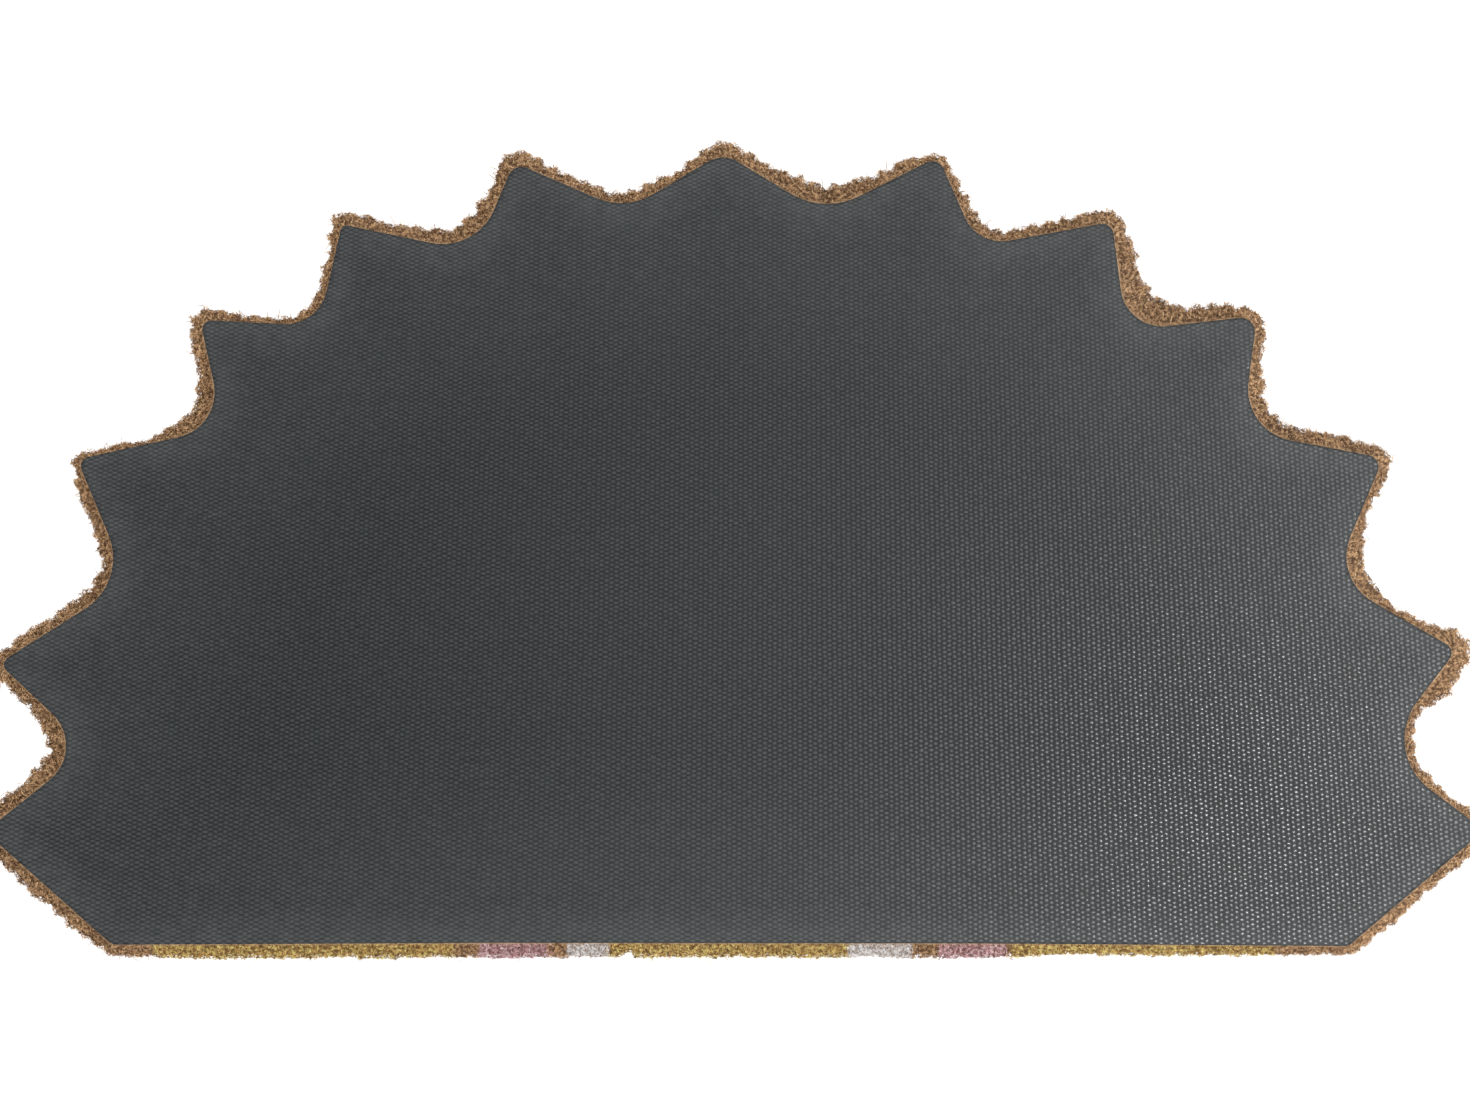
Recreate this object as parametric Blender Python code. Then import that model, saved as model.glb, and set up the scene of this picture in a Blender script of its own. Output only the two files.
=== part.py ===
"""Coir doormat cut to a half sun, lying face down on its bristles with the vinyl backing on top.

Metres, +Z up. X runs along the straight edge and the rays point towards +Y. The origin is
under the middle of the mat's box, on the surface that the bristles rest on.
"""

import collections
import math
import random

import bmesh
import bpy
from mathutils import Vector

# Driving sizes
BACKING_THICK = 0.0024
PILE_TALL = 0.0123
BOND_GAP = 0.0003

# Tufts of the rim: half their width, how far their ends differ in reach, the share of that
# which a crest takes outwards and a dip inwards, and how far their ends differ in height
TUFT_PITCH = 0.0042
TUFT_UNEVEN = 0.0017
TUFT_CREST = 1.0
TUFT_DIP = -0.6
TUFT_LEAST = 0.2
TUFT_STRAY = 0.5
TUFT_LIFT = 0.0014
SEED = 12

# One corner of the cut edge: where its sides would meet, its rounding, and how far the
# bristles splay past it and past the side that follows it
Corner = collections.namedtuple("Corner", "point rounding splay side_splay")

# The straight edge, which bows inwards a little between its ends
BASE_RIGHT = Corner((0.3063, -0.0025), 0.002, 0.0042, 0.0057)
BASE_MIDDLE = Corner((0.0, -0.0003), 20.0, 0.0076, 0.0053)
BASE_LEFT = Corner((-0.3110, -0.0018), 0.006, 0.0060, 0.0075)

# Each ray and the notch after it, from the right-hand end round to the left. Bearings are
# degrees from the straight edge, about the middle of that edge, and reaches run from the same
# point. The other columns are the rounding of that corner, the splay of its bristles, and the
# splay along the side after the tip (far) and after the notch (near, before the next tip).
Ray = collections.namedtuple(
    "Ray",
    "tip_bearing tip_reach tip_round tip_splay far_splay"
    " notch_bearing notch_reach notch_round notch_splay near_splay",
)
RAYS = (
    Ray(8.4, 0.3785, 0.003, 0.0055, 0.0034, 16.4, 0.3357, 0.033, 0.0043, 0.0100),
    Ray(21.95, 0.3890, 0.005, 0.0085, 0.0040, 31.2, 0.3495, 0.026, 0.0083, 0.0048),
    Ray(36.65, 0.4045, 0.006, 0.0063, 0.0075, 45.1, 0.3597, 0.026, 0.0086, 0.0057),
    Ray(50.1, 0.4076, 0.007, 0.0054, 0.0090, 57.3, 0.3625, 0.021, 0.0148, 0.0105),
    Ray(62.3, 0.4064, 0.0055, 0.0076, 0.0060, 70.7, 0.3682, 0.020, 0.0057, 0.0045),
    Ray(75.45, 0.4055, 0.006, 0.0030, 0.0062, 83.0, 0.3665, 0.035, 0.0100, 0.0083),
    Ray(90.85, 0.3945, 0.014, 0.0065, 0.0040, 98.5, 0.3695, 0.031, 0.0060, 0.0053),
    Ray(105.85, 0.4050, 0.007, 0.0071, 0.0070, 110.6, 0.368, 0.028, 0.0083, 0.0062),
    Ray(118.75, 0.4090, 0.003, 0.0064, 0.0045, 124.1, 0.3715, 0.021, 0.0045, 0.0040),
    Ray(130.75, 0.4101, 0.0045, 0.0059, 0.0074, 134.9, 0.3625, 0.023, 0.0090, 0.0030),
    Ray(143.8, 0.4076, 0.0045, 0.0036, 0.0073, 149.4, 0.3525, 0.030, 0.0072, 0.0060),
    Ray(159.35, 0.3932, 0.004, 0.0052, 0.0068, 163.4, 0.3365, 0.022, 0.0093, 0.0080),
    Ray(171.7, 0.3785, 0.003, 0.0075, 0.0070, None, None, None, None, None),
)

# A side's splay goes over to its corner's along this share of the side at each end
SIDE_BLEND = 0.25

# The bristles reach further at the middle of a ray's tip, a corner that turns at least this far
TIP_POINT = 0.0022
TIP_TURN = 1.0

# They lie more even on the straight edge, which faces this squarely towards -Y
BASE_UNEVEN = 0.4
BASE_FACING = -0.99

# Rings of the bristle bed from its roots down: height as a share of the pile, and splay as a
# share of the tuft's reach past the cut edge
Ring = collections.namedtuple("Ring", "height splay")
PILE_RINGS = (
    Ring(1.0, 0.0),
    Ring(0.66, 0.52),
    Ring(0.24, 1.0),
    Ring(0.0, 0.86),
)

# Arcs of the backing turn this far at each point, and take at most this share of a side
ARC_STEP = math.radians(7)
MOST_OF_SIDE = 0.49

VINYL_COLOUR = (0.052, 0.055, 0.057, 1.0)
VINYL_ROUGHNESS = 0.6
COIR_COLOUR = (0.30, 0.165, 0.075, 1.0)
COIR_ROUGHNESS = 0.95


def at_bearing(bearing, reach):
    """The point this far from the rays' centre, in this direction."""
    turn = math.radians(bearing)
    return Vector((reach * math.cos(turn), reach * math.sin(turn)))


def corners():
    """The sharp corners of the cut edge, anticlockwise from the straight edge's right end."""
    found = [BASE_RIGHT]
    for ray in RAYS:
        tip = at_bearing(ray.tip_bearing, ray.tip_reach)
        found.append(Corner(tip, ray.tip_round, ray.tip_splay, ray.far_splay))
        if ray.notch_reach:
            notch = at_bearing(ray.notch_bearing, ray.notch_reach)
            found.append(Corner(notch, ray.notch_round, ray.notch_splay, ray.near_splay))
    return found + [BASE_LEFT, BASE_MIDDLE]


def rounded(before, corner, after):
    """Centre, radius, start angle and signed turn of the arc that rounds one corner."""
    place = Vector(corner.point)
    back, ahead = Vector(before.point) - place, Vector(after.point) - place
    half = back.angle(ahead) / 2
    most = MOST_OF_SIDE * min(back.length, ahead.length)
    cut = min(corner.rounding / math.tan(half), most)
    radius = cut * math.tan(half)
    middle = (back.normalized() + ahead.normalized()).normalized()
    centre = place + middle * radius / math.sin(half)
    start = place + back.normalized() * cut - centre
    end = place + ahead.normalized() * cut - centre
    turn = math.atan2(start.cross(end), start.dot(end))
    return centre, radius, math.atan2(start.y, start.x), turn


def splay_along(corner, after, share):
    """Splay at this share of the way along the side from one corner to the next."""
    nearest = corner.splay if share < 0.5 else after.splay
    own = min(1.0, min(share, 1.0 - share) / SIDE_BLEND)
    return nearest + (corner.side_splay - nearest) * own


def outline(arc_steps, side_steps):
    """The cut edge as points, each with its outward normal and the splay of its bristles.

    arc_steps gives the steps of an arc from its turn and the length of its splayed rim, and
    side_steps those of a straight side from its length.
    """
    sharp = corners()
    arcs = []
    for index, corner in enumerate(sharp):
        arcs.append(rounded(sharp[index - 1], corner, sharp[(index + 1) % len(sharp)]))
    found = []
    for index, (centre, radius, start, turn) in enumerate(arcs):
        splay = sharp[index].splay
        facing = 1.0 if turn > 0 else -1.0
        steps = arc_steps(abs(turn), abs(turn) * (radius + facing * splay))
        for step in range(steps + 1):
            angle = start + turn * step / steps
            spoke = Vector((math.cos(angle), math.sin(angle)))
            more = TIP_POINT * math.sin(math.pi * step / steps) if turn > TIP_TURN else 0.0
            found.append((centre + spoke * radius, spoke * facing, splay + more))
        last, normal, _ = found[-1]
        after = (index + 1) % len(arcs)
        next_centre, next_radius, next_start, _ = arcs[after]
        spoke = Vector((math.cos(next_start), math.sin(next_start)))
        side = next_centre + spoke * next_radius - last
        steps = side_steps(side.length)
        for step in range(1, steps):
            share = step / steps
            blend = splay_along(sharp[index], sharp[after], share)
            found.append((last + side * share, normal, blend))
    return found


def backing_outline():
    """The cut edge with points on its arcs alone."""
    return outline(lambda turn, _: max(1, round(turn / ARC_STEP)), lambda _: 1)


def tuft_outline():
    """The cut edge with one point for each crest and dip between the tufts of the rim."""
    def by_pitch(length):
        return max(1, round(length / TUFT_PITCH))

    return outline(lambda _, length: by_pitch(length), by_pitch)


def tufts():
    """Each point of the rim with how far its bristles splay and how high their ends stand."""
    draw = random.Random(SEED)
    found = []
    for index, (point, normal, splay) in enumerate(tuft_outline()):
        uneven = TUFT_UNEVEN * (BASE_UNEVEN if normal.y < BASE_FACING else 1.0)
        lobe = (TUFT_CREST if index % 2 else TUFT_DIP) * draw.uniform(TUFT_LEAST, 1.0)
        reach = splay + uneven * (lobe + draw.uniform(-TUFT_STRAY, TUFT_STRAY))
        found.append((point, normal, reach, TUFT_LIFT * draw.random()))
    return found


def box_middle(rim):
    """The middle of the box round the splayed rim, which becomes the mat's origin."""
    most = max(ring.splay for ring in PILE_RINGS)
    reached = [point + normal * reach * most for point, normal, reach, _ in rim]
    spans = [(min(axis), max(axis)) for axis in zip(*reached)]
    return Vector([(low + high) / 2 for low, high in spans])


def material(name, colour, roughness):
    made = bpy.data.materials.new(name)
    made.use_nodes = True
    surface = made.node_tree.nodes["Principled BSDF"]
    surface.inputs["Base Color"].default_value = colour
    surface.inputs["Roughness"].default_value = roughness
    made.diffuse_color = colour
    return made


def make_backing(parts, middle):
    """The vinyl sheet: the flat outline with the sheet's thickness."""
    curve = bpy.data.curves.new("backing", "CURVE")
    curve.dimensions = "2D"
    curve.fill_mode = "BOTH"
    curve.extrude = BACKING_THICK / 2
    edge = [point for point, _, _ in backing_outline()]
    spline = curve.splines.new("POLY")
    spline.points.add(len(edge) - 1)
    spline.use_cyclic_u = True
    for place, point in zip(spline.points, edge):
        place.co = (point.x, point.y, 0.0, 1.0)
    sheet = bpy.data.objects.new("backing", curve)
    sheet.location = (-middle.x, -middle.y, PILE_TALL + BOND_GAP + BACKING_THICK / 2)
    curve.materials.append(material("vinyl_backing", VINYL_COLOUR, VINYL_ROUGHNESS))
    parts.objects.link(sheet)


def make_pile(parts, middle, rim):
    """The bristle bed: rings of the rim lofted from the roots down, with flat faces."""
    shape = bmesh.new()
    rings = []
    for ring in PILE_RINGS:
        loop = []
        for point, normal, reach, lift in rim:
            place = point + normal * reach * ring.splay
            height = PILE_TALL * ring.height
            if 0.0 < ring.height < 1.0:
                height += lift
            loop.append(shape.verts.new((place.x, place.y, height)))
        rings.append(loop)
    for upper, lower in zip(rings, rings[1:]):
        for index in range(len(upper)):
            after = (index + 1) % len(upper)
            shape.faces.new((upper[index], lower[index], lower[after], upper[after]))
    shape.faces.new(rings[0])
    shape.faces.new(reversed(rings[-1]))
    mesh = bpy.data.meshes.new("pile")
    shape.to_mesh(mesh)
    shape.free()
    bed = bpy.data.objects.new("pile", mesh)
    bed.location = (-middle.x, -middle.y, 0.0)
    mesh.materials.append(material("coir", COIR_COLOUR, COIR_ROUGHNESS))
    parts.objects.link(bed)


def main():
    for old in list(bpy.data.objects):
        bpy.data.objects.remove(old)
    parts = bpy.data.collections.new("coir_doormat")
    bpy.context.scene.collection.children.link(parts)
    rim = tufts()
    middle = box_middle(rim)
    make_backing(parts, middle)
    make_pile(parts, middle, rim)


if __name__ == "__main__":
    main()
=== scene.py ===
"""Looks of the coir doormat: embossed vinyl backing, bristle bed, splayed rim and walking face."""

import collections
import math

import bpy
import numpy as np
from bpy.props import FloatProperty, FloatVectorProperty, IntProperty, PointerProperty
from bpy.types import Operator, Panel, PropertyGroup
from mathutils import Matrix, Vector
from mathutils.bvhtree import BVHTree
from mathutils.geometry import delaunay_2d_cdt
from mathutils.kdtree import KDTree


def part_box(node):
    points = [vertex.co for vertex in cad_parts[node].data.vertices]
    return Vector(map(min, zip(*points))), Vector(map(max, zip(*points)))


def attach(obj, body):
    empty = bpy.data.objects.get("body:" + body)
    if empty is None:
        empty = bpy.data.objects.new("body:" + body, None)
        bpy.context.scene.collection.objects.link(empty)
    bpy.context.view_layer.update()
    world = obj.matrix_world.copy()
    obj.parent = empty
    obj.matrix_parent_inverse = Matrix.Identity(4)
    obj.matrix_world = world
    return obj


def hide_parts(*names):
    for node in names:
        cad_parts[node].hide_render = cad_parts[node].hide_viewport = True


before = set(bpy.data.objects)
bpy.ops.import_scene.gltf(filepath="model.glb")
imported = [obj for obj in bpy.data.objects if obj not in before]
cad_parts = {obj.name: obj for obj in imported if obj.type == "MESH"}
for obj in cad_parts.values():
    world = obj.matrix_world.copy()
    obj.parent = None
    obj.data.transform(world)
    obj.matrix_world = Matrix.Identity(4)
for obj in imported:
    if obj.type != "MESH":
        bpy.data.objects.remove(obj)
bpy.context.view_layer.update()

bl_info = {
    "name": "Coir Doormat",
    "version": (1, 0, 0),
    "blender": (4, 5, 0),
    "location": "View3D > Sidebar > Doormat",
    "description": "A coir doormat cut to a half sun, face down on its bristles",
    "category": "Add Mesh",
}

# The frame that every piece is worked out from
BACKING_LOW, BACKING_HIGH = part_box("backing")
PILE_LOW, PILE_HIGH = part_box("pile")
PILE_TALL = PILE_HIGH.z - PILE_LOW.z

# Points closer than this are one
WELD = 1e-6

# The straight edge faces -Y. The rays spread from a point on it, which lies this far right of
# the backing's middle, and this far up from its lowest corner
CENTRE_SHIFT = 0.00015
EDGE_DIP = 0.0025
BACKING_MIDDLE = (BACKING_LOW.x + BACKING_HIGH.x) / 2
RAYS_CENTRE = (BACKING_MIDDLE + CENTRE_SHIFT, BACKING_LOW.y + EDGE_DIP)

# How the outer bristles flare: depth below the backing as a share of the pile, against the
# share of their reach past the cut edge
FLARE_DEPTHS = (0.0, 0.34, 0.76, 1.0)
FLARE_SHARES = (0.0, 0.52, 1.0, 0.86)
WIDEST_DEPTH = FLARE_DEPTHS[2]

# Distance between the rim's samples, how far their normals are averaged along it, and the
# normal's Y below which a sample lies on the straight edge
RIM_STEP = 0.0007
NORMAL_BLUR = 0.0015
FACES_FRONT = -0.97

# Places on the straight edge where bristles are missing, from the rays' centre, and the share
# of their reach that is kept there
Gap = collections.namedtuple("Gap", "place width kept")
GAPS = (Gap(-0.0531, 0.0052, 0.62), Gap(0.0910, 0.0011, 0.35))

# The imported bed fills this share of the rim's reach. Its levels run from the roots down: depth as
# a share of the pile, how far a level is set back from the flare, and how lumpy it is. Those set
# back further than the foot's inset are the bed's underside
Level = collections.namedtuple("Level", "depth inset lumpy")
BED_FILL = 0.84
FOOT_INSET = 0.001
BED_LEVELS = (
    Level(-0.02, 0.0002, 0.0),
    Level(0.05, 0.0, 0.15),
    Level(0.13, 0.0, 0.3),
    Level(0.22, 0.0, 0.5),
    Level(0.32, 0.0, 0.8),
    Level(0.43, 0.0, 1.0),
    Level(0.54, 0.0, 1.0),
    Level(0.65, 0.0, 1.0),
    Level(0.76, 0.0, 1.0),
    Level(0.90, 0.0, 0.8),
    Level(0.90, 0.0012, 0.4),
    Level(0.74, 0.0024, 0.0),
)

# Tufts of the rim: their width as a share of the pitch and how much they stand out, how many
# lie behind each other, and the share of their height that is left on the straight edge
Tuft = collections.namedtuple("Tuft", "width proud")
TUFTS = (Tuft(3.0, 0.60), Tuft(1.0, 0.55), Tuft(0.42, 0.50))
TUFT_ROWS = 12
FRONT_LUMPS = 0.5

# Fibres have this many sides. Loose ones keep this far above the floor and pass the pile's top by
# this much at most, each measured to the middle of a fibre
SIDES = 3
FLOOR_GAP = 0.0002
TOP_PROUD = 0.0001

# Each kind of bristle has random draws of its own, with this added to the seed
OWN_SEED = {"bristles": 1, "face": 2, "bed": 3, "curls": 4, "strays": 5}

# Least and most that the rim's outer surface widens from its cut edge, in a notch and round a tip
SPREAD_LIMITS = (0.35, 3.5)

# Leaning bristles: where they start and how far they run, as shares of the rim's reach, where
# the tuft is that they follow, how much they lean with it and by chance, the most that they arch
# up, and how far round their curl turns from root to tip, sideways and in height
BRISTLE_START = (-0.06, 0.45)
BRISTLE_RUN = (0.22, 0.5)
BRISTLE_TUFT = 0.4
BRISTLE_FOLLOW = 0.5
BRISTLE_LEAN = 0.42
BRISTLE_ARCH = 0.0006
BRISTLE_TURNS = (3.6, 4.0)

# Curled ends: how deep they start, where that is as a share of the flare, how far their tufts
# stand out as a share of the lumpiness, the most that they lift as a share of their mean length,
# how far on average they may pass the rim's own reach, and the share of the rest that is drawn in
CURL_DEPTHS = (0.01, 1.0)
CURL_ROOT = 0.95
CURL_PROUD = 1.2
CURL_LIFT = 0.45
CURL_SPARE = 0.0006
CURL_DRAWN_IN = 0.9

# Strays: how deep they start, where that is as a share of the flare, their radius as a share of a
# fibre's width, the least length, the mean of what comes on top, the most of that, and how far
# out on the rim their colour takes them to be
STRAY_DEPTHS = (0.45, 0.95)
STRAY_ROOT = 0.92
STRAY_THICK = 0.42
STRAY_LENGTH = 0.0010
STRAY_GROWTH = 0.0012
STRAY_MOST = 0.0060
STRAY_SHARE = 0.8

# Cut ends of the walking face: how far out they stand as a share of the rim's reach, how deep
# they start as a share of the pile, how far off its place and how thick each one is as shares of
# their pitch, how uneven they are, and how far their tips lean
FACE_REACH = 0.78
FACE_ROOT = 0.70
FACE_DRIFT = 0.38
FACE_THICK = 0.42
FACE_UNEVEN = 0.0016
FACE_LEAN = 0.0007

# Dyed half rings of the walking face, from the rays' centre outwards. Each reaches this far
# along the straight edge on the right and on the left, and its dye strays past by the blur
Band = collections.namedtuple("Band", "dye right left")
BANDS = (
    Band("mustard", 0.0566, 0.0634),
    Band("white", 0.0886, 0.0844),
    Band("natural", 0.1016, 0.0934),
    Band("pink", 0.1356, 0.1284),
    Band("natural", 0.1376, 0.1399),
    Band("mustard", 0.2701, 0.2914),
    Band("natural", 1.0, 1.0),
)
DYES = ("natural", "mustard", "pink", "white")
RIM_DYE_BLUR = 0.0007
FACE_DYE_BLUR = 0.0008

# The camera aims at this place from the rays' centre
VIEW_SHIFT = (0.0001, 0.1946)

# The pressed-in weave fans out from this far right of the rays' centre, and is finer by this
# share for each metre up from the straight edge
WEAVE_AXIS = 0.020
WEAVE_SHRINK = 0.208

# UV maps: places in the weave, and the layout for baking
WEAVE_MAP = "weave"
BAKE_MAP = "OFBake"

# How fine the patterns of the vinyl are, in repeats a metre, and the hues of its stains
SHOVE_SCALE = 420.0
WEAR_SCALE = 150.0
GRAIN_SCALE = 2600.0
STAIN_SCALE = 60.0
SPECK_SCALE = 170.0
GREEN_STAIN = (0.018, 0.046, 0.036, 1.0)
BROWN_STAIN = (0.060, 0.040, 0.042, 1.0)

# The floor and the lights that glint on the vinyl: their places, the spot that they aim at and
# their widths, and the same of the light that shades the bristles
FLOOR_SIZE = 12.0
FLOOR_DROP = 0.0001
GLINT_SPOT = (0.26, -0.12, 0.0)
GLOSS_PLACE = (0.32, -0.135, 0.95)
GLOSS_WIDTH = 0.07
SIDE_PLACE = (0.80, -0.10, 0.95)
SIDE_WIDTH = 0.40
KEY_PLACE = (0.80, -0.40, 0.65)
KEY_WIDTH = 0.5
WHITE = (1.0, 1.0, 1.0, 1.0)


# Settings that a user would change

class BackingSettings(PropertyGroup):
    """Sizes and colours of the vinyl backing and the cloth weave pressed into it."""

    column: FloatProperty(
        name="Column pitch", description="Distance between columns of the weave at the edge",
        default=0.00257, unit="LENGTH", precision=5)
    pitch: FloatProperty(
        name="Row pitch", description="Distance between crests of one column at the edge",
        default=0.00240, unit="LENGTH", precision=5)
    relief: FloatProperty(
        name="Relief", description="Height of a crest, and depth of a pit",
        default=0.00006, unit="LENGTH", precision=5)
    sheen_relief: FloatProperty(
        name="Sheen relief", description="Height of a crest's rounded top, where it is glossy",
        default=0.000014, unit="LENGTH", precision=6)
    uneven: FloatProperty(
        name="Uneven", description="Share by which crests differ in height",
        default=0.2, subtype="FACTOR")
    drift: FloatProperty(
        name="Drift", description="Most that a crest lies off its place in the weave",
        default=0.00035, unit="LENGTH", precision=5)
    crest_colour: FloatVectorProperty(
        name="Crest colour", description="Vinyl on the raised threads", subtype="COLOR",
        size=4, default=(0.057, 0.063, 0.066, 1.0))
    # Near black painted shade for the pits, which mixed with the crest colour also gives the
    # painted shade between the ribs
    pit_shade_colour: FloatVectorProperty(
        name="Pit colour", description="Vinyl in the pits between threads", subtype="COLOR",
        size=4, default=(0.002, 0.003, 0.004, 1.0))
    # Used for dust specks, the lighter band towards the cut edge and the painted glow of light
    # beside that edge
    dust_and_glow_colour: FloatVectorProperty(
        name="Dust colour", description="Dust and scuffs on the vinyl", subtype="COLOR",
        size=4, default=(0.24, 0.25, 0.25, 1.0))
    edge_colour: FloatVectorProperty(
        name="Edge colour", description="Coir dust on the cut edge", subtype="COLOR",
        size=4, default=(0.58, 0.40, 0.27, 1.0))
    seed: IntProperty(name="Seed", description="Draw of the unevenness", default=3)


class CoirSettings(PropertyGroup):
    """Sizes and colours of the coir bristles."""

    width: FloatProperty(
        name="Fibre width", description="Width of a fibre at its root",
        default=0.00040, unit="LENGTH", precision=5)
    root_density: FloatProperty(
        name="Root density", description="Leaning bristles on each metre of the rim",
        default=3600.0)
    curl_density: FloatProperty(
        name="Curl density", description="Short curled ends on each metre of the rim",
        default=16500.0)
    curl_length: FloatProperty(
        name="Curl length", description="Mean length of a short curled end",
        default=0.0016, unit="LENGTH", precision=4)
    curl: FloatProperty(
        name="Curl", description="How far a bristle bends off its line",
        default=0.0007, unit="LENGTH", precision=5)
    strays: IntProperty(
        name="Strays", description="Single fibres that stand out past the rim", default=3000)
    tuft_pitch: FloatProperty(
        name="Tuft pitch", description="Mean width of a tuft along the rim",
        default=0.0030, unit="LENGTH", precision=4)
    lumpiness: FloatProperty(
        name="Lumpiness", description="How far a tuft stands out from the bed",
        default=0.0012, unit="LENGTH", precision=5)
    face_pitch: FloatProperty(
        name="Face pitch", description="Distance between bristles of the walking face",
        default=0.0022, unit="LENGTH", precision=5)
    natural: FloatVectorProperty(
        name="Natural", description="Undyed coir", subtype="COLOR",
        size=4, default=(0.54, 0.325, 0.168, 1.0))
    mustard: FloatVectorProperty(
        name="Mustard", description="Coir dyed mustard", subtype="COLOR",
        size=4, default=(0.74, 0.465, 0.16, 1.0))
    pink: FloatVectorProperty(
        name="Pink", description="Coir dyed pink", subtype="COLOR",
        size=4, default=(0.77, 0.43, 0.43, 1.0))
    white: FloatVectorProperty(
        name="White", description="Coir dyed white", subtype="COLOR",
        size=4, default=(1.0, 0.90, 0.85, 1.0))
    root: FloatVectorProperty(
        name="Root", description="Coir at the cut edge of the backing", subtype="COLOR",
        size=4, default=(0.64, 0.43, 0.25, 1.0))
    seed: IntProperty(name="Seed", description="Draw of the bristles", default=7)


class StageSettings(PropertyGroup):
    """Camera, floor and lights."""

    lens: FloatProperty(
        name="Lens", description="Focal length", default=200.0, unit="CAMERA")
    view_width: FloatProperty(
        name="View width", description="Width of the view at the backing",
        default=0.735, unit="LENGTH")
    elevation: FloatProperty(
        name="Elevation", description="Camera's angle above the floor",
        default=math.radians(88), subtype="ANGLE")
    sky: FloatProperty(
        name="Sky", description="Strength of the even light from all round", default=0.88)
    floor_glow: FloatProperty(
        name="Floor glow", description="Light that the lit floor gives by itself", default=0.85)
    gloss: FloatProperty(
        name="Gloss light", description="Power of the light that glints on the vinyl",
        default=11.5, unit="POWER")
    side: FloatProperty(
        name="Side light", description="Power of the wide light on the right of the mat",
        default=31.0, unit="POWER")
    key: FloatProperty(
        name="Key light", description="Power of the soft light that shades the bristles",
        default=2.5, unit="POWER")


class DoormatSettings(PropertyGroup):
    """All settings of the doormat."""

    backing: PointerProperty(
        type=BackingSettings, name="Backing", description="The embossed vinyl")
    coir: PointerProperty(type=CoirSettings, name="Coir", description="The bristles")
    stage: PointerProperty(type=StageSettings, name="Stage", description="Camera and lights")


# Shared shapes

# The cut edge's samples, their outward normals, and how far the bristles splay past them
Rim = collections.namedtuple("Rim", "place normal reach")


def face_rim(node, height):
    """The corners round a node's flat face at this height, in order, as rows of x and y."""
    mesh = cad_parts[node].data
    mesh.calc_loop_triangles()
    places = np.empty(len(mesh.vertices) * 3, np.float32)
    mesh.vertices.foreach_get("co", places)
    places = places.reshape(-1, 3)
    corners = np.empty(len(mesh.loop_triangles) * 3, np.int32)
    mesh.loop_triangles.foreach_get("vertices", corners)
    corners = corners.reshape(-1, 3)
    level = np.abs(places[:, 2] - height) < WELD
    flat = corners[level[corners].all(axis=1)]
    grid = np.round(places / WELD).astype(np.int64)
    _, first, welded = np.unique(grid, axis=0, return_index=True, return_inverse=True)
    flat = welded.reshape(-1)[flat]
    sides = set()
    for a, b, c in flat.tolist():
        sides |= {(a, b), (b, c), (c, a)}
    following = {a: b for a, b in sides if (b, a) not in sides}
    start = min(following)
    walk = [start]
    while following[walk[-1]] != start:
        walk.append(following[walk[-1]])
    return places[first[walk], :2].astype(float)


def resampled(loop, step):
    """Points a step apart along a closed line."""
    closed = np.vstack([loop, loop[:1]])
    lengths = np.linalg.norm(np.diff(closed, axis=0), axis=1)
    along = np.concatenate([[0.0], np.cumsum(lengths)])
    stops = np.arange(0.0, along[-1], along[-1] / round(along[-1] / step))
    return np.column_stack([np.interp(stops, along, closed[:, axis]) for axis in (0, 1)])


def blurred(rows, width):
    """Rows of a closed line averaged with their neighbours, width in steps."""
    span = np.arange(-3 * width, 3 * width + 1)
    weights = np.exp(-0.5 * (span / max(width, 1)) ** 2)
    total = sum(w * np.roll(rows, shift, axis=0) for w, shift in zip(weights, span))
    return total / weights.sum()


def cut_rim():
    """The cut edge sampled evenly, with outward normals and how far the bristles splay there."""
    place = resampled(face_rim("backing", BACKING_HIGH.z), RIM_STEP)
    ahead = np.roll(place, -1, axis=0) - np.roll(place, 1, axis=0)
    normal = np.column_stack([ahead[:, 1], -ahead[:, 0]])
    normal /= np.linalg.norm(normal, axis=1)[:, None]
    normal = blurred(normal, round(NORMAL_BLUR / RIM_STEP))
    normal /= np.linalg.norm(normal, axis=1)[:, None]
    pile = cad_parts["pile"].data
    tree = BVHTree.FromPolygons(
        [vertex.co for vertex in pile.vertices], [list(face.vertices) for face in pile.polygons])
    widest = PILE_HIGH.z - PILE_TALL * WIDEST_DEPTH
    reach = []
    for (x, y), (nx, ny) in zip(place, normal):
        hit = tree.ray_cast(Vector((x, y, widest)), Vector((nx, ny, 0.0)))
        reach.append(hit[3] if hit[3] is not None else math.nan)
    reach = np.array(reach)
    known = np.isfinite(reach)
    spots = np.arange(len(reach))
    reach = np.interp(spots, spots[known], reach[known])
    for gap in GAPS:
        off = np.abs(place[:, 0] - RAYS_CENTRE[0] - gap.place) / (gap.width / 2)
        missing = (1.5 - off).clip(0.0, 1.0) * (normal[:, 1] < FACES_FRONT)
        reach *= 1.0 - (1.0 - gap.kept) * missing
    return Rim(place, normal, reach)


def lump_field(draw, length, cell):
    """Smooth unevenness of the rim from -1 to 1, as a function of metres along and across it."""
    last_row = TUFT_ROWS - 1.001
    columns = round(length / cell)
    heights = draw.uniform(-1, 1, (columns, TUFT_ROWS))

    def lumps(along, across):
        column = np.mod(along / length, 1.0) * columns
        row = (across / cell).clip(0.0, last_row)
        left, low = column.astype(int), row.astype(int)
        share_x, share_y = column - left, row - low
        share_x = share_x * share_x * (3 - 2 * share_x)
        share_y = share_y * share_y * (3 - 2 * share_y)
        left, right = left % columns, (left + 1) % columns
        near = heights[left, low] * (1 - share_x) + heights[right, low] * share_x
        far = heights[left, low + 1] * (1 - share_x) + heights[right, low + 1] * share_x
        return near * (1 - share_y) + far * share_y

    return lumps


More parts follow.
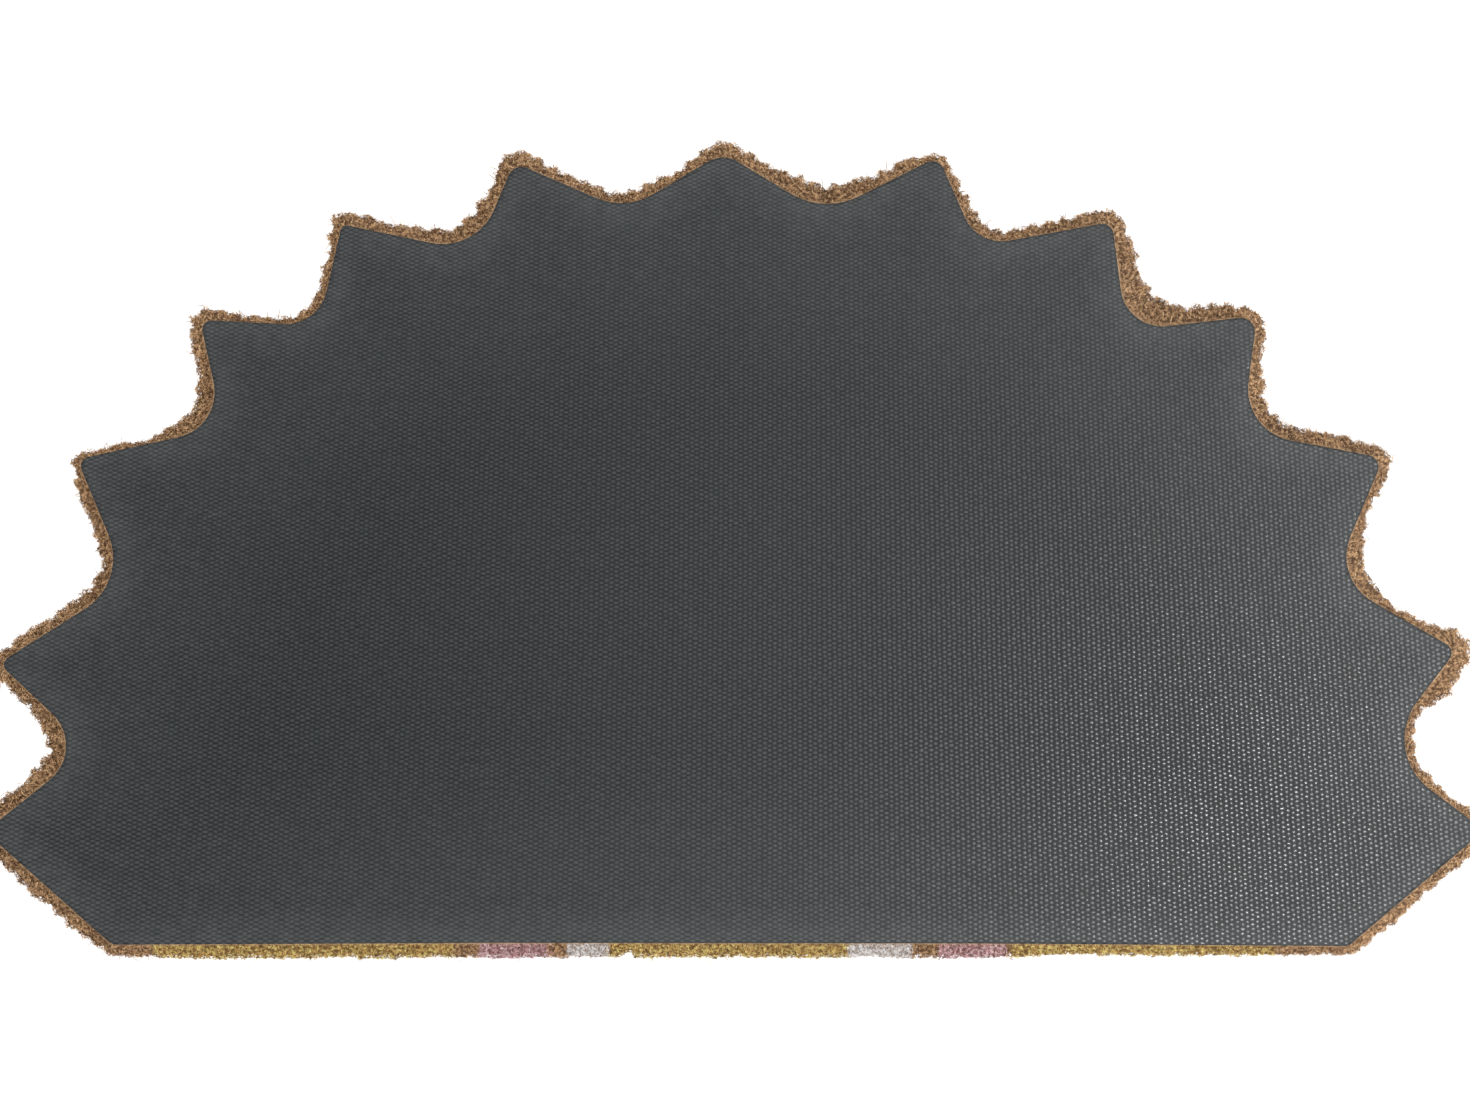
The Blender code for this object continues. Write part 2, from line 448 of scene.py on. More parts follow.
def rim_lumps(coir, rim):
    """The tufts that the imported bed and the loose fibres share, lower on the straight edge."""
    draw = np.random.default_rng(coir.seed)
    length = len(rim.place) * RIM_STEP
    fields = [
        (tuft.proud, lump_field(draw, length, coir.tuft_pitch * tuft.width)) for tuft in TUFTS]
    held = np.where(rim.normal[:, 1] < FACES_FRONT, FRONT_LUMPS, 1.0)
    held = blurred(held[:, None], width=3)[:, 0]

    def lumps(along, across):
        total = sum(proud * field(along, across) for proud, field in fields)
        return total * held[(along / RIM_STEP).astype(int) % len(held)]

    return lumps


def inside(loop, points):
    """Which points lie inside a closed line, by counting the sides that a ray to +X crosses."""
    found = np.zeros(len(points), bool)
    for (x0, y0), (x1, y1) in zip(loop, np.roll(loop, -1, axis=0)):
        if y0 == y1:
            continue
        spans = (points[:, 1] < y0) != (points[:, 1] < y1)
        crossing = x0 + (points[:, 1] - y0) * (x1 - x0) / (y1 - y0)
        found ^= spans & (points[:, 0] < crossing)
    return found


def distance_to(loop, points):
    """How far each point lies from the nearest of the points of a line."""
    tree = KDTree(len(loop))
    for index, place in enumerate(loop):
        tree.insert((*place, 0.0), index)
    tree.balance()
    return np.array([tree.find((*point, 0.0))[2] for point in points])


def mesh_object(name, vertices, faces, materials):
    """A mesh object from arrays. Faces is a list of index arrays, each for one face size."""
    mesh = bpy.data.meshes.new(name)
    mesh.vertices.add(len(vertices))
    mesh.vertices.foreach_set("co", np.ascontiguousarray(vertices, np.float32).ravel())
    corners = np.concatenate([group.ravel() for group in faces])
    sizes = np.concatenate([np.full(len(group), group.shape[1]) for group in faces])
    mesh.loops.add(len(corners))
    mesh.loops.foreach_set("vertex_index", corners.astype(np.int32))
    mesh.polygons.add(len(sizes))
    starts = np.concatenate([[0], np.cumsum(sizes)[:-1]])
    mesh.polygons.foreach_set("loop_start", starts.astype(np.int32))
    mesh.update(calc_edges=True)
    for material in materials:
        mesh.materials.append(material)
    made = bpy.data.objects.new(name, mesh)
    bpy.context.scene.collection.objects.link(made)
    return made


def add_map(made, name, places):
    """A UV map from one place for each face corner."""
    layer = made.data.uv_layers.new(name=name)
    layer.uv.foreach_set("vector", np.ascontiguousarray(places, np.float32).ravel())


def add_values(made, name, values):
    """A number for each vertex, which the piece's material reads."""
    layer = made.data.attributes.new(name, "FLOAT", "POINT")
    layer.data.foreach_set("value", np.ascontiguousarray(values, np.float32).ravel())


def paint(made, slots):
    """The material slot of each face."""
    made.data.polygons.foreach_set("material_index", slots.astype(np.int32))


# Materials

class Finish:
    """A material with short ways to add and join its nodes."""

    def __init__(self, name):
        self.material = bpy.data.materials.new(name)
        self.material.use_nodes = True
        self.tree = self.material.node_tree
        self.surface = self.tree.nodes["Principled BSDF"]

    def fill(self, node, inputs):
        """Each input joined to a node's output, or set to a value on its own socket."""
        for key, value in inputs.items():
            if isinstance(value, bpy.types.NodeSocket):
                self.tree.links.new(value, node.inputs[key])
            else:
                node.inputs[key].default_value = value

    def node(self, kind, inputs, **settings):
        made = self.tree.nodes.new(kind)
        for key, value in settings.items():
            setattr(made, key, value)
        self.fill(made, inputs)
        return made

    def math(self, operation, *values):
        made = self.node("ShaderNodeMath", dict(enumerate(values)), operation=operation)
        return made.outputs[0]

    def times(self, one, other):
        return self.math("MULTIPLY", one, other)

    def vector(self, operation, one, other):
        made = self.node("ShaderNodeVectorMath", {0: one, 1: other}, operation=operation)
        return made.outputs["Vector"]

    def ramp(self, value, low, high, to_low=0.0, to_high=1.0):
        """The value eased from one range to another and held at its ends."""
        inputs = {
            "Value": value, "From Min": low, "From Max": high, "To Min": to_low, "To Max": to_high}
        made = self.node("ShaderNodeMapRange", inputs, interpolation_type="SMOOTHSTEP")
        return made.outputs["Result"]

    def mix(self, share, one, other):
        """One colour where the share is 0, and the other where it is 1."""
        made = self.node("ShaderNodeMix", {0: share, 6: one, 7: other}, data_type="RGBA")
        return made.outputs[2]

    def varied(self, value, *others):
        """The value times each of the others, which are given as what a ramp takes."""
        for other in others:
            value = self.times(value, self.ramp(*other))
        return value

    def layered(self, colour, *layers):
        """The colour under others: each one's colour, the value that it follows, where on that
        value it starts and is full, and its share when it is full."""
        for other, value, low, high, most in layers:
            colour = self.mix(self.ramp(value, low, high, 0.0, most), colour, other)
        return colour

    def noise(self, vector, scale, detail=2.0, output="Fac"):
        inputs = {"Vector": vector, "Scale": scale, "Detail": detail}
        return self.node("ShaderNodeTexNoise", inputs).outputs[output]

    def value(self, name):
        """A number that the mesh holds for each vertex."""
        return self.node("ShaderNodeAttribute", {}, attribute_name=name).outputs["Fac"]

    def place(self):
        return self.node("ShaderNodeTexCoord", {}).outputs["Object"]

    def split(self, vector):
        return self.node("ShaderNodeSeparateXYZ", {"Vector": vector}).outputs

    def show(self, colour, roughness, specular, height, distance):
        """What the surface shows, with the relief that its gloss follows."""
        bump = self.node("ShaderNodeBump", {"Height": height, "Distance": distance})
        self.fill(self.surface, {
            "Base Color": colour, "Roughness": roughness, "Specular IOR Level": specular,
            "Normal": bump.outputs["Normal"]})
        return self.material


def pressed_weave(finish, place):
    """The weave's relief and ribs, each from -1 to 1, and a draw from 0 to 1 for each crossing."""
    weave = finish.node("ShaderNodeUVMap", {}, uv_map=WEAVE_MAP).outputs["UV"]
    shove = finish.noise(place, SHOVE_SCALE, 1.0, "Color")
    shove = finish.vector("SUBTRACT", shove, (0.5, 0.5, 0.5))
    shove = finish.vector("MULTIPLY", shove, (0.5, 0.4, 0.0))
    threads = finish.split(finish.vector("ADD", weave, shove))
    across = finish.math("COSINE", finish.times(threads["X"], math.pi))
    along = finish.math("COSINE", finish.times(threads["Y"], math.tau))
    rib = finish.math("COSINE", finish.times(threads["X"], math.tau))
    column = finish.math("ROUND", threads["X"])
    row = finish.math("ROUND", finish.times(threads["Y"], 2.0))
    cell = finish.node("ShaderNodeCombineXYZ", {"X": column, "Y": row}).outputs["Vector"]
    draw = finish.node("ShaderNodeTexWhiteNoise", {"Vector": cell}, noise_dimensions="3D")
    return finish.times(across, along), rib, draw.outputs["Value"]


def stained(finish, place, colour):
    """Faint green and brown stains over a colour."""
    stain = finish.noise(place, STAIN_SCALE, 3.0)
    return finish.layered(
        colour, (GREEN_STAIN, stain, 0.54, 0.75, 0.10), (BROWN_STAIN, stain, 0.46, 0.28, 0.10))


def edge_dust(finish, grain):
    """How thick coir dust lies: only on faces that stand upright, which the cut edge is."""
    facing = finish.node("ShaderNodeNewGeometry", {}).outputs["True Normal"]
    upright = finish.ramp(finish.math("ABSOLUTE", finish.split(facing)["Z"]), 0.5, 0.2)
    return finish.varied(upright, (grain, 0.35, 0.65, 0.35, 0.85))


def specks(finish, place):
    """Where single specks of dust lie."""
    cells = finish.node(
        "ShaderNodeTexVoronoi", {"Vector": place, "Scale": SPECK_SCALE, "Randomness": 1.0})
    chosen = finish.ramp(cells.outputs["Color"], 0.86, 0.88)
    near = finish.ramp(cells.outputs["Distance"], 0.06, 0.02)
    return finish.times(finish.times(chosen, near), 0.7)


def vinyl_finish(backing):
    """Dark vinyl with a plain weave pressed into it, with painted shade in its pits and between its
    ribs, glossier on the crests, dusty and scuffed, and lighter towards the cut edge with a painted
    glow of light beside it.
    """
    finish = Finish("embossed_vinyl")
    place = finish.place()
    relief, rib, draw = pressed_weave(finish, place)
    wear = finish.noise(place, WEAR_SCALE, 3.0)
    grain = finish.noise(place, GRAIN_SCALE)

    # Grey on the crests, with painted shade between the ribs and near black painted shade in the
    # pits
    lightness = finish.varied(
        finish.ramp(relief, -0.20, 0.75), (rib, -1.0, 0.6, 0.5, 1.0), (draw, 0.0, 1.0, 0.55, 1.25),
        (wear, 0.3, 0.7, 0.75, 1.2), (grain, 0.3, 0.7, 0.8, 1.15))
    # Where the near black painted shade of the pits lies
    pit = finish.varied(finish.ramp(relief, 0.15, -0.60), (draw, 0.0, 0.6, 0.7, 1.0))
    between = finish.ramp(rib, -0.9, 0.7, 0.30, 0.54)
    shaded_ground = finish.mix(between, backing.pit_shade_colour, backing.crest_colour)
    colour = finish.mix(lightness, shaded_ground, backing.crest_colour)
    colour = finish.mix(pit, colour, backing.pit_shade_colour)

    # Lighter towards the cut edge, with a painted glow of light right beside it, and less so down
    # in the pits
    to_edge = finish.value("to_edge")
    wide = finish.ramp(to_edge, 0.110, 0.010, 0.0, 0.6)
    # A painted glow of light in the last few millimetres beside the cut edge
    beside = finish.ramp(to_edge, 0.022, 0.0, 0.0, 0.8)
    edge_lift_and_glow = finish.math("ADD", wide, beside)
    edge_lift_and_glow = finish.varied(edge_lift_and_glow, (wear, 0.3, 0.7, 0.095, 0.135), (pit, 0.0, 1.0, 1.0, 0.75))
    colour = finish.mix(edge_lift_and_glow, colour, backing.dust_and_glow_colour)

    colour = stained(finish, place, colour)
    colour = finish.mix(edge_dust(finish, grain), colour, backing.edge_colour)
    colour = finish.mix(specks(finish, place), colour, backing.dust_and_glow_colour)

    # The rounded tops of the crests are the glossiest
    shine = finish.varied(
        finish.ramp(relief, 0.30, 0.85), (rib, -0.3, 0.7), (draw, 0.0, 0.8, 0.75, 1.0))
    roughness = finish.ramp(rib, -0.8, 0.8, 0.76, 0.60)
    roughness = finish.math("SUBTRACT", roughness, finish.times(shine, 0.35))
    roughness = finish.math("ADD", roughness, finish.ramp(grain, 0.2, 0.8, -0.03, 0.03))

    swell = finish.math("ADD", relief, finish.times(rib, 0.5))
    swell = finish.varied(swell, (draw, 0.0, 1.0, 0.6, 1.2))
    height = finish.math("ADD", swell, finish.times(grain, 0.20))
    height = finish.math("ADD", height, finish.times(wear, 0.8))
    return finish.show(colour, roughness, 0.15, height, backing.sheen_relief)


def scaled(colour, share, shift=0.0):
    """A colour whose red, green and blue are scaled, each by its own share, then shifted."""
    return tuple(min(1.0, part * by + shift) for part, by in zip(colour, share)) + (1.0,)


def coir_finish(name, dyed, root):
    """Coir of one colour: fibres move between a shaded and a lit copy of the dye by their tones,
    with painted shade in patches and in hollows, painted light on the lumps, fresher at the root,
    and fine lighter grain.
    """
    finish = Finish(name)
    tone = finish.value("tone")
    along = finish.value("along")
    place = finish.place()
    shade_patches = finish.noise(place, 210.0)
    lumps_light_and_shade = finish.noise(place, 520.0, 1.0)
    grain = finish.noise(place, 1600.0, 3.0)

    # The bluer and so the paler the dye, the paler its shadows
    pale = 0.35 * dyed[2] ** 2
    shadow = scaled(dyed, (0.22 + pale, 0.16 + pale, 0.12 + pale))
    light = scaled(dyed, (1.70, 1.85, 1.90), 0.02)
    # Painted light and shade: the shadow and light copies follow the fibres' tones, painted shade
    # lies in patches and hollows, and painted light on the lumps between them
    colour = finish.layered(
        shadow, (dyed, tone, 0.02, 0.55, 1.0), (light, tone, 0.58, 1.0, 1.0),
        (shadow, shade_patches, 0.52, 0.78, 0.35), (root, along, 0.13, 0.03, 0.7),
        (shadow, lumps_light_and_shade, 0.51, 0.61, 0.92), (light, lumps_light_and_shade, 0.46, 0.36, 0.75),
        (light, grain, 0.48, 0.80, 0.35))
    return finish.show(colour, 0.82, 0.2, grain, 0.0001)


def bed_finish(name, dyed, root):
    """Packed coir: fine strokes down the pile between painted shade and a lighter copy of the dye,
    more painted shade in clumps, fresh where the backing ends.
    """
    finish = Finish(name)
    place = finish.place()
    along = finish.value("along")
    stretched = finish.node("ShaderNodeMapping", {"Vector": place, "Scale": (1.0, 1.0, 0.35)})
    strokes = finish.noise(stretched.outputs["Vector"], 1500.0, 4.0)
    shade_clumps = finish.noise(place, 330.0)
    # The bed lies behind the loose fibres, so its dark copy of the dye is painted shade
    bed_shade = scaled(dyed, (0.20, 0.15, 0.12))
    light = scaled(dyed, (1.2, 1.22, 1.25))
    fresh = finish.layered(scaled(root, (0.8, 0.8, 0.8)), (root, strokes, 0.40, 0.60, 1.0))
    colour = finish.layered(
        bed_shade, (light, strokes, 0.36, 0.60, 1.0), (bed_shade, shade_clumps, 0.40, 0.68, 0.5),
        (fresh, along, 0.16, 0.04, 0.8))
    return finish.show(colour, 0.9, 0.15, strokes, 0.0003)


def finishes(kind, prefix, coir):
    """One material of this kind for each dye, in the order of DYES, made once."""
    found = []
    for dye in DYES:
        name = f"{prefix}_{dye}"
        made = bpy.data.materials.get(name) or kind(name, getattr(coir, dye), coir.root)
        found.append(made)
    return found


# Pieces

def to_weave(points):
    """Rows of x and y on the mat as places in the weave before it fans out."""
    off = points - RAYS_CENTRE - (WEAVE_AXIS, 0.0)
    return off / (1.0 - WEAVE_SHRINK * off[:, 1:])


def from_weave(points):
    """Places in the weave as rows of x and y on the mat."""
    off = points / (1.0 + WEAVE_SHRINK * points[:, 1:])
    return off + RAYS_CENTRE + (WEAVE_AXIS, 0.0)


class Weave:
    """Lattice of crests and pits, and its cells that lie well inside the cut edge."""

    def __init__(self, backing, loop):
        self.pitch = np.array((backing.column, backing.pitch / 2))
        low = np.floor(loop.min(axis=0) / self.pitch).astype(int)
        high = np.ceil(loop.max(axis=0) / self.pitch).astype(int)
        self.columns = np.arange(low[0], high[0] + 1)
        self.rows = np.arange(low[1], high[1] + 1)
        grid = np.stack(np.meshgrid(self.columns, self.rows, indexing="ij"), axis=-1)
        held = inside(loop, grid.reshape(-1, 2) * self.pitch).reshape(grid.shape[:2])
        edge = resampled(loop, backing.pitch / 4)
        near = np.round(edge / self.pitch).astype(int) - low
        near_x, near_y = near.clip(0, np.array(held.shape) - 1).T
        held[near_x, near_y] = False
        self.cells = held[:-1, :-1] & held[1:, :-1] & held[:-1, 1:] & held[1:, 1:]

    def quads(self):
        """Columns and rows of the crests and pits in use, and the quads between them."""
        used = np.zeros((len(self.columns), len(self.rows)), bool)
        wide, tall = self.cells.shape
        for x in (0, 1):
            for y in (0, 1):
                used[x:x + wide, y:y + tall] |= self.cells
        index = np.full(used.shape, -1)
        index[used] = np.arange(used.sum())
        column, row = np.nonzero(used)
        x, y = np.nonzero(self.cells)
        corners = [index[x + right, y + up] for right, up in ((0, 0), (1, 0), (1, 1), (0, 1))]
        return self.columns[column], self.rows[row], np.column_stack(corners)

    def covers(self, points):
        """Which points lie in one of its cells."""
        cell = np.floor(points / self.pitch).astype(int) - (self.columns[0], self.rows[0])
        x, y = cell.clip(0, np.array(self.cells.shape) - 1).T
        return self.cells[x, y]


def border_of(quads):
    """Sides that belong to one quad only."""
    sides = np.concatenate([quads[:, [a, (a + 1) % 4]] for a in range(4)])
    ordered = np.sort(sides, axis=1)
    _, first, count = np.unique(ordered, axis=0, return_index=True, return_counts=True)
    return sides[first[count == 1]]


def edge_strip(weave, lattice, border, fine):
    """Triangles between the weave's border and the cut edge, whose points follow the lattice's."""
    border_ids = np.unique(border)
    slot_of = {vertex: slot for slot, vertex in enumerate(border_ids.tolist())}
    rim = len(fine)
    points = [Vector(p) for p in fine] + [Vector(lattice[i]) for i in border_ids]
    edges = [(i, (i + 1) % rim) for i in range(rim)]
    edges += [(rim + slot_of[a], rim + slot_of[b]) for a, b in border.tolist()]
    made_points, _, made_faces, origins, _, _ = delaunay_2d_cdt(points, edges, [], 0, WELD)
    if any(len(origin) != 1 for origin in origins):
        raise RuntimeError("the weave's border and the cut edge cross")
    whence = np.array([origin[0] for origin in origins])
    strip = np.array(made_faces)
    middle = np.array([tuple(p) for p in made_points])[strip].mean(axis=1)
    strip = whence[strip[inside(fine, middle) & ~weave.covers(middle)]]
    return np.where(strip < rim, len(lattice) + strip, border_ids[(strip - rim).clip(0)])


def face_corners(made):
    """The vertex of each face corner of a piece."""
    corners = np.empty(len(made.data.loops), np.int32)
    made.data.loops.foreach_get("vertex_index", corners)
    return corners


def lay_out_backing(made, vertices, rim):
    """Map for baking: the top, the underside above it and the cut edge beside them."""
    top_width = 0.94
    margin = 0.003
    underside_up = 0.5
    left = 0.955
    right = 0.995
    scale = top_width / (BACKING_HIGH.x - BACKING_LOW.x)
    laid = (vertices[face_corners(made), :2] - (BACKING_LOW.x, BACKING_LOW.y)) * scale + margin
    laid[-rim:, 1] += underside_up
    step = np.arange(rim) / rim
    across = np.tile((left, right, right, left), (rim, 1))
    along = np.column_stack([step, step, step + 1 / rim, step + 1 / rim])
    laid[-5 * rim:-rim] = np.column_stack([across.ravel(), along.ravel()])
    add_map(made, BAKE_MAP, laid)


def make_backing(backing):
    """The vinyl sheet: one closed mesh whose top rises and falls with the pressed-in weave."""
    loop = to_weave(face_rim("backing", BACKING_HIGH.z))
    weave = Weave(backing, loop)
    column, row, quads = weave.quads()
    border = border_of(quads)
    draw = np.random.default_rng(backing.seed)

    # Each quad is split from pit to pit, and the weave's border stays on the plain lattice
    crest = np.where((column + row) % 2 == 0, 1.0, -1.0)
    height = backing.relief * crest * (1.0 + backing.uneven * draw.uniform(-1, 1, len(crest)))
    off = draw.uniform(-1, 1, (len(crest), 2)) * backing.drift * (0.8, 0.5)
    off[border.ravel()] = 0.0
    from_crest = crest[quads[:, 0]] > 0.0
    turned = np.where(from_crest[:, None], np.roll(quads, -1, axis=1), quads)
    inner = np.concatenate([turned[:, [0, 1, 2]], turned[:, [0, 2, 3]]])
    lattice = np.column_stack([column, row]) * weave.pitch
    fine = resampled(loop, backing.pitch)
    strip = edge_strip(weave, lattice, border, fine)

    # The weave's vertices come first, then the cut edge above and below
    rim = len(fine)
    top_rim = len(crest) + np.arange(rim)
    low_rim = top_rim + rim
    cut = from_weave(fine)
    vertices = np.concatenate([
        np.column_stack([from_weave(lattice + off), BACKING_HIGH.z + height]),
        np.column_stack([cut, np.full(rim, BACKING_HIGH.z - backing.relief / 4)]),
        np.column_stack([cut, np.full(rim, BACKING_LOW.z)])])
    wall = np.column_stack([top_rim, low_rim, np.roll(low_rim, -1), np.roll(top_rim, -1)])
    made = mesh_object(
        "vinyl_backing", vertices, [inner, strip, wall, low_rim[::-1][None, :]],
        [vinyl_finish(backing)])
    smooth = np.zeros(len(made.data.polygons), bool)
    smooth[:len(inner) + len(strip)] = True
    made.data.polygons.foreach_set("use_smooth", smooth)
    edge_threads = fine / (backing.column, backing.pitch)
    threads = np.concatenate([np.column_stack([column, row / 2.0]), edge_threads, edge_threads])
    add_map(made, WEAVE_MAP, threads[face_corners(made)])
    add_values(made, "to_edge", distance_to(cut, vertices[:, :2]))
    lay_out_backing(made, vertices, rim)
    return made, from_weave(loop)


def draws_for(coir, kind):
    """The random draws of one kind of bristle."""
    return np.random.default_rng(coir.seed + OWN_SEED[kind])


def flare(depth):
    """Share of its reach that the rim has at this depth."""
    return np.interp(depth, FLARE_DEPTHS, FLARE_SHARES)


def lay_out_bed(made, vertices, count):
    """Map for baking: the wall as rows of strips, and above them the lid and the foot."""
    rows = 16
    strip_height = 0.94
    wall_height = 0.8
    cap_size = (PILE_HIGH.x - PILE_LOW.x) * 2.1
    lid_place = (0.25, 0.9)
    foot_place = (0.75, 0.9)
    levels = len(BED_LEVELS) - 1
    per_row = math.ceil(count / rows)
    step = np.arange(count)
    low = np.column_stack([step % per_row, step // per_row]).astype(float)
    places = []
    for level in range(levels):
        for across, down in ((0, 0), (0, 1), (1, 1), (1, 0)):
            at = (low + (across, (level + down) / levels * strip_height)) / (per_row, rows)
            places.append(at * (1.0, wall_height))
    strips = np.stack(places).reshape(levels, 4, count, 2).transpose(0, 2, 1, 3)
    lid = vertices[:count, :2] / cap_size + lid_place
    foot = vertices[-count:, :2][::-1] / cap_size + foot_place
    add_map(made, BAKE_MAP, np.concatenate([strips.reshape(-1, 2), lid, foot]))


def make_bed(coir, rim):
    """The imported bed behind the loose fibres: a closed, lumpy loft from the backing down."""
    draw = draws_for(coir, "bed")
    lumps = rim_lumps(coir, rim)
    count = len(rim.place)
    along = np.arange(count) * RIM_STEP
    rings = []
    for level in BED_LEVELS:
        full = rim.reach * flare(max(level.depth, 0.0)) * BED_FILL
        rough = lumps(along, full) + draw.uniform(-0.45, 0.45, count)
        bulge = level.lumpy * coir.lumpiness * rough
        out = full + bulge - level.inset
        height = PILE_HIGH.z - PILE_TALL * level.depth + 0.5 * bulge * (level.depth > 0.0)
        rings.append(np.column_stack([rim.place + rim.normal * out[:, None], height]))
    vertices = np.concatenate(rings)
    step = np.arange(count)
    after = np.roll(step, -1)
    around = np.column_stack([step, step + count, after + count, after])
    walls = [around + level * count for level in range(len(BED_LEVELS) - 1)]
    lid = step[None, :]
    foot = (step + (len(BED_LEVELS) - 1) * count)[::-1][None, :]
    made = mesh_object(
        "bristle_bed", vertices, [np.concatenate(walls), lid, foot],
        finishes(bed_finish, "packed_coir", coir))
    dyes = rim_dyes(rim.place, rim.normal, draw)
    paint(made, np.concatenate([np.tile(dyes, len(walls)), [0, 0]]))
    shares = [
        1.0 if level.inset > FOOT_INSET else flare(max(level.depth, 0.0)) for level in BED_LEVELS]
    add_values(made, "along", np.repeat(shares, count))
    lay_out_bed(made, vertices, count)
    return made


def strand_pattern(body):
    """Corners of a fibre's quads and of the faces at its tip, with their places on its map."""
    quads = []
    tips = []
    quad_map = []
    tip_map = []
    for corner in range(SIDES):
        beside = (corner + 1) % SIDES
        for ring in range(body - 1):
            low, high = SIDES * ring, SIDES * (ring + 1)
            quads.append((low + corner, low + beside, high + beside, high + corner))
            v0, v1 = ring / body, (ring + 1) / body
            quad_map.append(((corner, v0), (corner + 1, v0), (corner + 1, v1), (corner, v1)))
        low = SIDES * (body - 1)
        tips.append((low + corner, low + beside, SIDES * body))
        v0 = (body - 1) / body
        tip_map.append(((corner, v0), (corner + 1, v0), (corner + 0.5, 1.0)))
    return (quads, tips), (quad_map, tip_map)


def strands(name, paths, radii, tones, dyes, materials):
    """Tapered fibres along paths, as one mesh. Each path is a row of points."""
    count, rings, _ = paths.shape
    ahead = np.gradient(paths, axis=1)
    ahead /= np.linalg.norm(ahead, axis=2)[:, :, None] + 1e-12
    helper = np.where(np.abs(ahead[:, :, 2:3]) > 0.9, (1.0, 0.0, 0.0), (0.0, 0.0, 1.0))
    side = np.cross(ahead, helper)
    side /= np.linalg.norm(side, axis=2)[:, :, None] + 1e-12
    up = np.cross(side, ahead)
    body = rings - 1
    taper = np.interp(np.arange(body) / body, (0.0, 0.5, 1.0), (1.0, 0.95, 0.55))
    width = radii[:, None] * taper[None, :]
    per = SIDES * body + 1
    vertices = np.empty((count, per, 3))
    for corner in range(SIDES):
        angle = math.tau * corner / SIDES
        spoke = side[:, :body] * math.cos(angle) + up[:, :body] * math.sin(angle)
        vertices[:, corner:SIDES * body:SIDES] = paths[:, :body] + spoke * width[:, :, None]
    vertices[:, -1] = paths[:, -1]

    patterns, maps = strand_pattern(body)
    base = (np.arange(count) * per)[:, None, None]
    faces = [
        (base + np.array(pattern)[None]).reshape(-1, sides)
        for pattern, sides in zip(patterns, (4, 3))]
    made = mesh_object(name, vertices.reshape(-1, 3), faces, materials)
    made.data.polygons.foreach_set("use_smooth", np.ones(len(made.data.polygons), bool))
    paint(made, np.concatenate([np.repeat(dyes, len(group) // count) for group in faces]))
    add_values(made, "tone", np.repeat(tones, per))

    # Each fibre has its own cell in the map for baking
    across = math.ceil(math.sqrt(count))
    cell = np.column_stack([np.arange(count) % across, np.arange(count) // across])
    shares = []
    for pattern in maps:
        share = np.array(pattern, float).reshape(-1, 2) * (0.9 / SIDES, 0.9) + 0.05
        shares.append((cell[:, None, :] + share[None]).reshape(-1, 2) / across)
    add_map(made, BAKE_MAP, np.concatenate(shares))
    return made, per


def dye_at(x, y, blur, draw):
    """Which dye the bristles have at these places, as indices into DYES."""
    off_x, off_y = x - RAYS_CENTRE[0], y - RAYS_CENTRE[1]
    radius = np.hypot(off_x, off_y) + draw.normal(0.0, blur, len(x))
    turn = np.arctan2(np.maximum(off_y, 0.0), off_x) / math.pi
    dyes = np.full(len(x), DYES.index("natural"))
    within = np.zeros(len(x), bool)
    for band in BANDS:
        edge = band.right + (band.left - band.right) * turn
        here = ~within & (radius < edge)
        dyes[here] = DYES.index(band.dye)
        within |= here
    return dyes


def rim_dyes(place, normal, draw):
    """Dyes of the rim: the bands end at the straight edge, and all the rest is natural."""
    dyes = dye_at(place[:, 0], np.full(len(place), RAYS_CENTRE[1]), RIM_DYE_BLUR, draw)
    return np.where(normal[:, 1] < FACES_FRONT, dyes, DYES.index("natural"))


def rim_samples(rim, total, draw):
    """Columns of the rim drawn by how much of its surface each one carries."""
    count = len(rim.place)
    after = np.roll(rim.normal, -1, axis=0)
    turning = rim.normal[:, 0] * after[:, 1] - rim.normal[:, 1] * after[:, 0]
    spread = (1.0 + turning / RIM_STEP * rim.reach / 2).clip(*SPREAD_LIMITS)
    weight = (rim.reach + PILE_TALL / 2) * spread
    return draw.choice(count, total, p=weight / weight.sum())


def rim_paths(rim, chosen, out, sideways, height):
    """Paths from columns of the rim, with each step's reach, sideways move and height."""
    normal = rim.normal[chosen]
    tangent = np.column_stack([-normal[:, 1], normal[:, 0]])
    paths = np.empty(out.shape + (3,))
    paths[:, :, :2] = (
        rim.place[chosen][:, None, :] + normal[:, None, :] * out[:, :, None]
        + tangent[:, None, :] * sideways[:, :, None])
    paths[:, :, 2] = height.clip(PILE_LOW.z + FLOOR_GAP, PILE_HIGH.z + TOP_PROUD)
    return paths


def depth_of(share):
    """Depth at which the flare has this share of its reach, above its widest level."""
    return np.interp(share, FLARE_SHARES[:3], FLARE_DEPTHS[:3])


def shaded_tones(tuft, draw, middle, follow, spread):
    """Tones of fibres, from 0 shaded to 1 lit: random, with painted light where their tuft stands
    out and painted shade where it sinks.
    """
    return middle + follow * tuft + draw.normal(0.0, spread, len(tuft))


